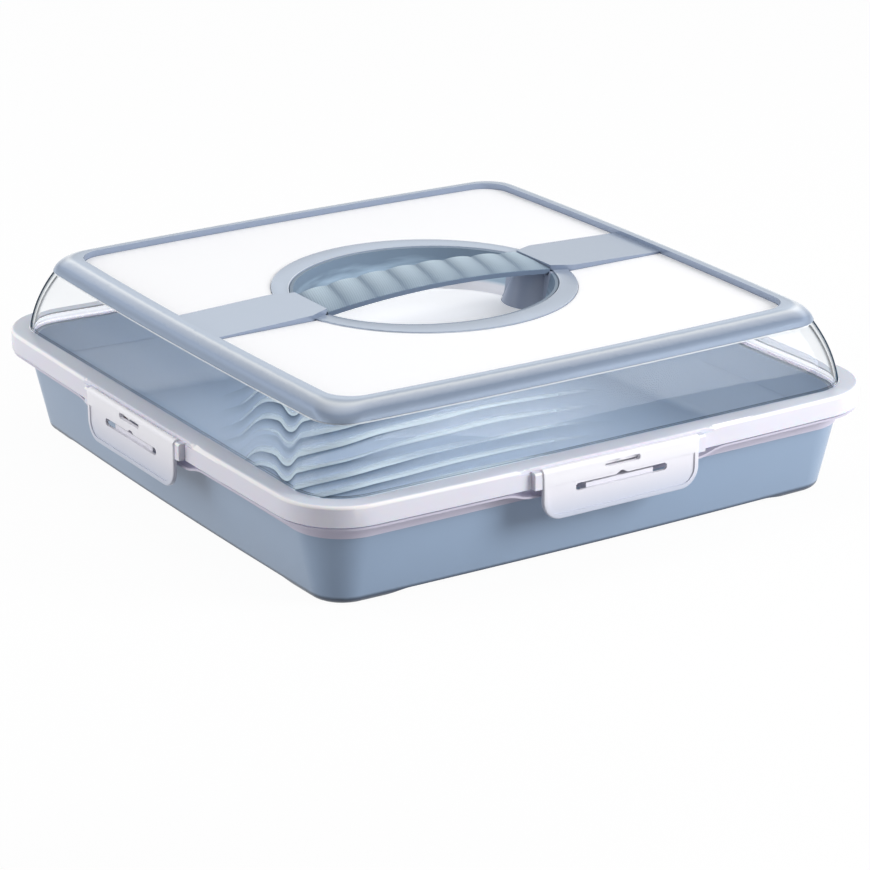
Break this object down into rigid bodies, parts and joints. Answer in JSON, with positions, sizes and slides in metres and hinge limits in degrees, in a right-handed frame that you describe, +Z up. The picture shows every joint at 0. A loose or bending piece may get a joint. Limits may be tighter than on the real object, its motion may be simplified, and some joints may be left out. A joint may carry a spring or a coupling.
{
  "type": "cake carrier",
  "caption": "Square cake carrier: shallow tray, clear bulging hood with a sunken arched handle, and flap latches hinged on the lid's ring.",
  "frame": {"origin": "on the table under the middle of the carrier", "axes": "+Z up, +Y along the longer side, X across; the handle runs along X"},
  "size_m": [0.3682, 0.3754, 0.1063],
  "materials": {
    "tray_blue": "opaque blue-grey moulded plastic, soft gloss",
    "white_plastic": "white moulded plastic, soft gloss",
    "clear_plastic": "clear moulded plastic, high gloss",
    "satin_silver": "silver-grey plastic, satin",
    "slate_plastic": "dark slate plastic, satin",
    "soft_grip": "soft blue-grey grip with a fine woven texture and slanting finger waves"
  },
  "bodies": {
    "base": {"base_tray": "tray_blue", "base_rim": "white_plastic"},
    "lid": {"lid_ring": "white_plastic", "hood": "clear_plastic", "top_cover": "satin_silver", "front_panel": "white_plastic", "back_panel": "white_plastic", "handle_well": "tray_blue", "well_floor": "white_plastic", "handle_core": "slate_plastic", "grip_pad": "soft_grip"},
    "front_flap": {"front_latch": "white_plastic"},
    "right_flap": {"right_latch": "white_plastic"},
    "back_flap": {"back_latch": "white_plastic"},
    "left_flap": {"left_latch": "white_plastic"}
  },
  "joints": [
    {"name": "lid_lift", "type": "slide", "parent": "base", "child": "lid", "axis": [0, 0, 1], "range_m": [0, 0.03]},
    {"name": "front_latch_hinge", "type": "hinge", "parent": "lid", "child": "front_flap", "pos_m": [0, -0.1853, 0.057], "axis": [-1, 0, 0], "range_deg": [0, 120]},
    {"name": "right_latch_hinge", "type": "hinge", "parent": "lid", "child": "right_flap", "pos_m": [0.1817, 0, 0.057], "axis": [0, -1, 0], "range_deg": [0, 120]},
    {"name": "back_latch_hinge", "type": "hinge", "parent": "lid", "child": "back_flap", "pos_m": [0, 0.1853, 0.057], "axis": [1, 0, 0], "range_deg": [0, 120]},
    {"name": "left_latch_hinge", "type": "hinge", "parent": "lid", "child": "left_flap", "pos_m": [-0.1817, 0, 0.057], "axis": [0, 1, 0], "range_deg": [0, 120]}
  ],
  "couplings": [
    {"joint": "front_latch_hinge", "follows": "lid_lift", "rad_per_m": 69.8},
    {"joint": "right_latch_hinge", "follows": "lid_lift", "rad_per_m": 69.8},
    {"joint": "back_latch_hinge", "follows": "lid_lift", "rad_per_m": 69.8},
    {"joint": "left_latch_hinge", "follows": "lid_lift", "rad_per_m": 69.8}
  ]
}
